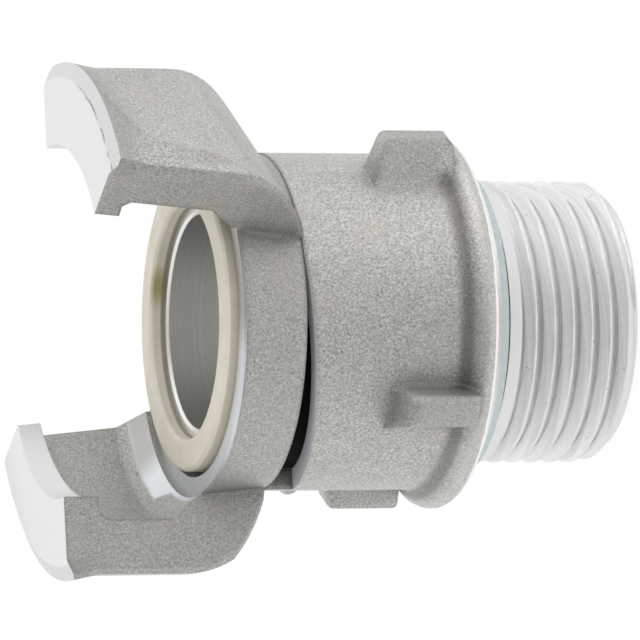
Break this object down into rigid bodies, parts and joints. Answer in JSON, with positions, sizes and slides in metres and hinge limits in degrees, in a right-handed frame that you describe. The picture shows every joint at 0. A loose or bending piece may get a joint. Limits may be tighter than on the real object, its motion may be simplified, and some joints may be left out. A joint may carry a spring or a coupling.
{
  "type": "quarter turn hose coupling half",
  "caption": "Half of a symmetrical quarter turn hose coupling in cast aluminium, with two hooks, a rubber face seal, a turning locking ring and a male pipe thread.",
  "frame": {"origin": "middle of the threaded end face, on the bore axis", "axes": "+Z along the bore axis from the threaded end to the hooks, +Y through the middle of one hook"},
  "size_m": [0.0484, 0.06, 0.0662],
  "materials": {
    "cast_aluminium": "satin",
    "ring_aluminium": "satin",
    "seal_rubber": "matte",
    "spring_steel": "satin"
  },
  "bodies": {
    "body": {"hook_body": "cast_aluminium", "face_seal": "seal_rubber", "retaining_ring": "spring_steel"},
    "ring": {"locking_ring": "ring_aluminium"}
  },
  "joints": [
    {"name": "ring_turn", "type": "hinge", "parent": "body", "child": "ring", "pos_m": [0, 0, 0.03], "axis": [0, 0, 1], "continuous": true}
  ]
}
